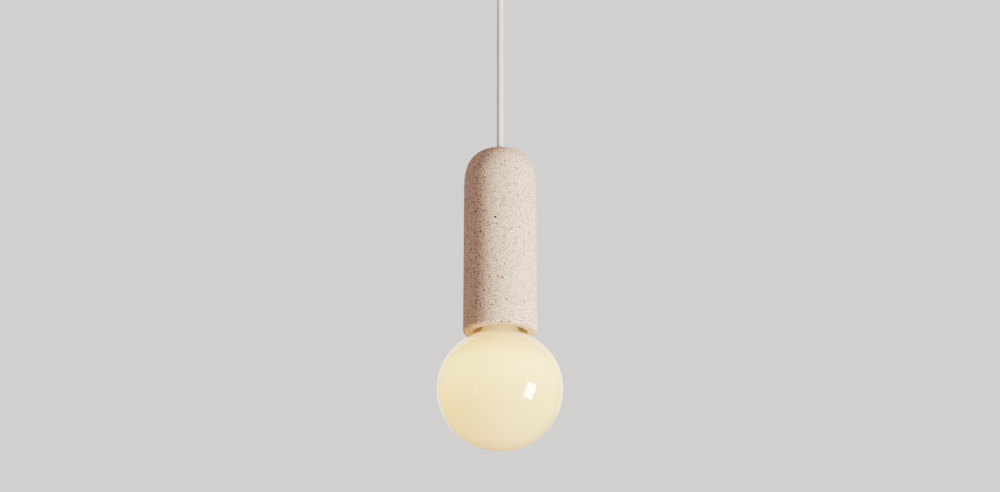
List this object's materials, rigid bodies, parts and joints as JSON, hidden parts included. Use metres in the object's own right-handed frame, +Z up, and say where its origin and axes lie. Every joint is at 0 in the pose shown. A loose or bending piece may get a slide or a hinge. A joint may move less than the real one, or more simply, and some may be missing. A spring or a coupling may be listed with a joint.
{
  "type": "pendant ceiling light",
  "caption": "Pendant ceiling light: a slim domed stone tube on a straight round cord, with a large opal globe lamp screwed into its mouth.",
  "frame": {"origin": "centre of the two ceiling screw slots, on the ceiling bracket's top face", "axes": "+Z up into the ceiling, the light hangs to -Z; +X along the line of the two ceiling screws"},
  "size_m": [0.125, 0.125, 0.5605],
  "materials": {
    "zinc_steel": "zinc plated",
    "white_powder": "satin powder coat",
    "plated_screw": "bright plated",
    "white_nylon": "satin",
    "brass": "turned",
    "core_brown": "satin",
    "core_blue": "satin",
    "core_green": "satin",
    "white_cord": "smooth round sheath, slight sheen",
    "rubber": "matt",
    "black_phenolic": "moulded satin",
    "ceramic": "unglazed",
    "nickel": "nickel plated",
    "stone": "matt, fine dark speckles and small pits",
    "black_glass": "glossy",
    "opal_glass": "glossy opal, softly lit from within",
    "clear_glass": "clear",
    "phosphor": "matt coating",
    "green_board": "satin"
  },
  "bodies": {
    "ceiling": {"ceiling_bracket": "zinc_steel", "canopy": "white_powder", "canopy_screws": "plated_screw", "gland_body": "white_nylon", "gland_nut": "plated_screw", "gland_screw": "plated_screw", "terminal_block": "white_nylon", "terminal_barrels": "brass", "terminal_screws": "plated_screw", "block_screw": "plated_screw", "earth_screw": "brass", "earth_tag": "brass", "top_live": "core_brown", "top_neutral": "core_blue", "top_earth": "core_green", "cord_stub": "white_cord"},
    "cord_bend": {"cord_bend": "white_cord"},
    "pendant": {"cord": "white_cord", "seat_washer": "rubber", "seat_disc": "zinc_steel", "cord_grip": "brass", "grip_screw": "plated_screw", "stem": "brass", "stem_nuts": "brass", "stem_tag": "brass", "core_live": "core_brown", "core_neutral": "core_blue", "core_earth": "core_green", "holder_cap": "black_phenolic", "holder_insert": "ceramic", "wire_posts": "brass", "post_screws": "plated_screw", "contact_rivets": "brass", "centre_contact": "brass", "side_contact": "brass", "screw_shell": "nickel", "holder_skirt": "black_phenolic"},
    "stone_shell": {"shell": "stone"},
    "lamp_advance": {"contact_button": "nickel"},
    "lamp": {"cap_insulator": "black_glass", "lamp_cap": "nickel", "globe": "opal_glass", "lamp_mount": "clear_glass", "lamp_spokes": "nickel", "filaments": "phosphor", "driver_board": "green_board", "driver_capacitor": "black_phenolic"}
  },
  "joints": [
    {"name": "swing_x", "type": "hinge", "parent": "ceiling", "child": "cord_bend", "pos_m": [0, 0, -0.0555], "axis": [1, 0, 0], "range_deg": [-20, 20]},
    {"name": "swing_y", "type": "hinge", "parent": "cord_bend", "child": "pendant", "pos_m": [0, 0, -0.0555], "axis": [0, 1, 0], "range_deg": [-20, 20]},
    {"name": "shell_lift", "type": "slide", "parent": "pendant", "child": "stone_shell", "axis": [0, 0, 1], "range_m": [0, 0.12]},
    {"name": "lamp_draw", "type": "slide", "parent": "pendant", "child": "lamp_advance", "axis": [0, 0, -1], "range_m": [0, 0.0128]},
    {"name": "lamp_turn", "type": "hinge", "parent": "lamp_advance", "child": "lamp", "pos_m": [0, 0, -0.498], "axis": [0, 0, -1], "range_deg": [0, 1260]}
  ],
  "couplings": [
    {"joint": "lamp_draw", "follows": "lamp_turn", "m_per_rad": 0.00057757}
  ]
}
